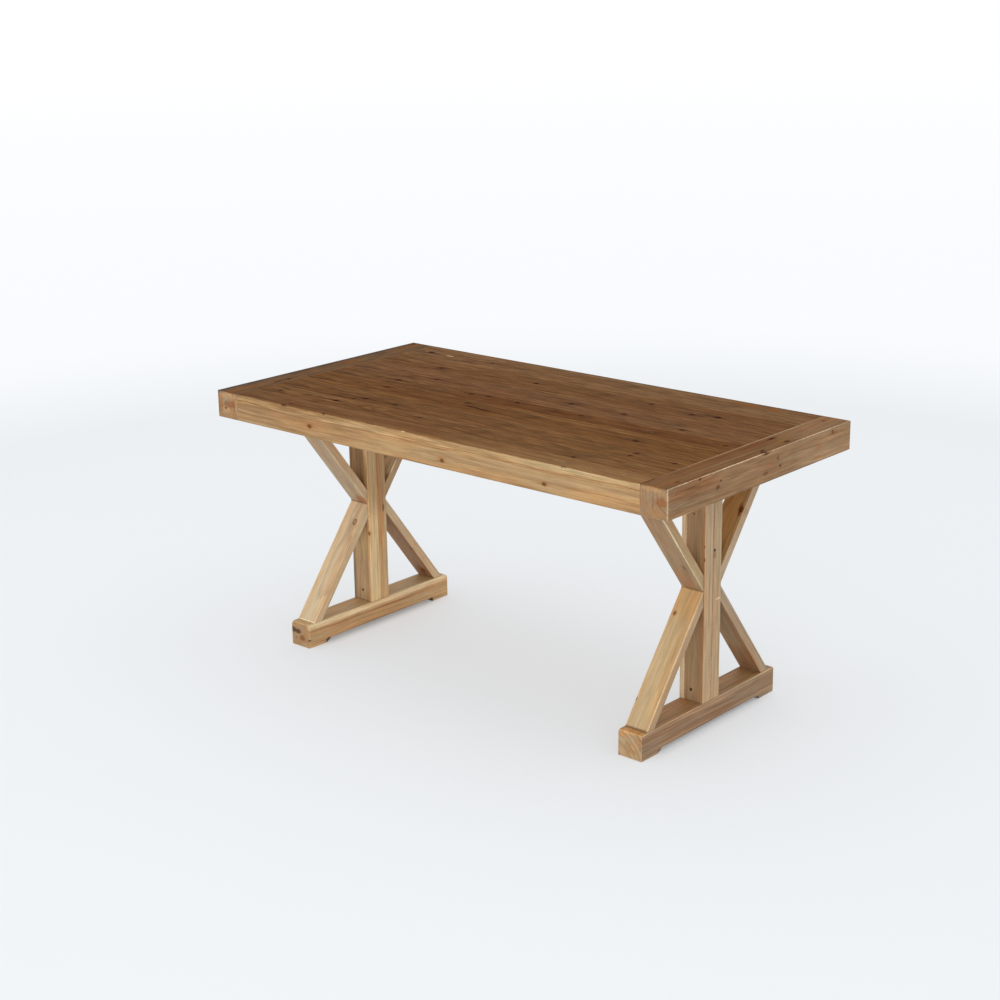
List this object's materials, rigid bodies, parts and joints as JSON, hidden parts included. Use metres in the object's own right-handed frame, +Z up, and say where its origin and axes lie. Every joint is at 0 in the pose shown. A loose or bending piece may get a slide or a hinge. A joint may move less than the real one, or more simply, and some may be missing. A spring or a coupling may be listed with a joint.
{
  "type": "pedestal dining table",
  "caption": "Rectangular dining table: a framed plank top with breadboard ends on X-braced pedestals with long feet.",
  "frame": {"origin": "on the floor, under the middle of the table", "axes": "+X along the top, +Y across it to the back edge, +Z up"},
  "size_m": [1.6, 0.81, 0.775],
  "materials": {
    "stained_pine": "brown stain under a thin satin varnish",
    "edge_pine": "light stain under a thin satin varnish",
    "leg_pine": "light stain, nearly matt",
    "hidden_pine": "planed and unfinished",
    "beech": "planed and unfinished",
    "zinc_steel": "zinc plated"
  },
  "bodies": {
    "root": {"plank_1": "stained_pine", "plank_2": "stained_pine", "plank_3": "stained_pine", "plank_4": "stained_pine", "plank_5": "stained_pine", "plank_6": "stained_pine", "plank_7": "stained_pine", "plank_8": "stained_pine", "breadboard_end_left": "stained_pine", "breadboard_end_right": "stained_pine", "side_rail_front": "edge_pine", "side_rail_back": "edge_pine", "rail_dowels": "beech", "batten_left": "hidden_pine", "batten_middle": "hidden_pine", "batten_right": "hidden_pine", "batten_screws": "zinc_steel", "base_left": "leg_pine", "head_rail_left": "hidden_pine", "post_stave_front_left": "leg_pine", "post_stave_back_left": "leg_pine", "brace_lower_front_left": "leg_pine", "brace_lower_back_left": "leg_pine", "brace_upper_front_left": "leg_pine", "brace_upper_back_left": "leg_pine", "brace_dowels_left": "beech", "post_screws_left": "zinc_steel", "stave_screws_left": "zinc_steel", "base_right": "leg_pine", "head_rail_right": "hidden_pine", "post_stave_front_right": "leg_pine", "post_stave_back_right": "leg_pine", "brace_lower_front_right": "leg_pine", "brace_lower_back_right": "leg_pine", "brace_upper_front_right": "leg_pine", "brace_upper_back_right": "leg_pine", "brace_dowels_right": "beech", "post_screws_right": "zinc_steel", "stave_screws_right": "zinc_steel", "top_bolts": "zinc_steel", "top_washers": "zinc_steel", "top_inserts": "zinc_steel"}
  },
  "joints": []
}
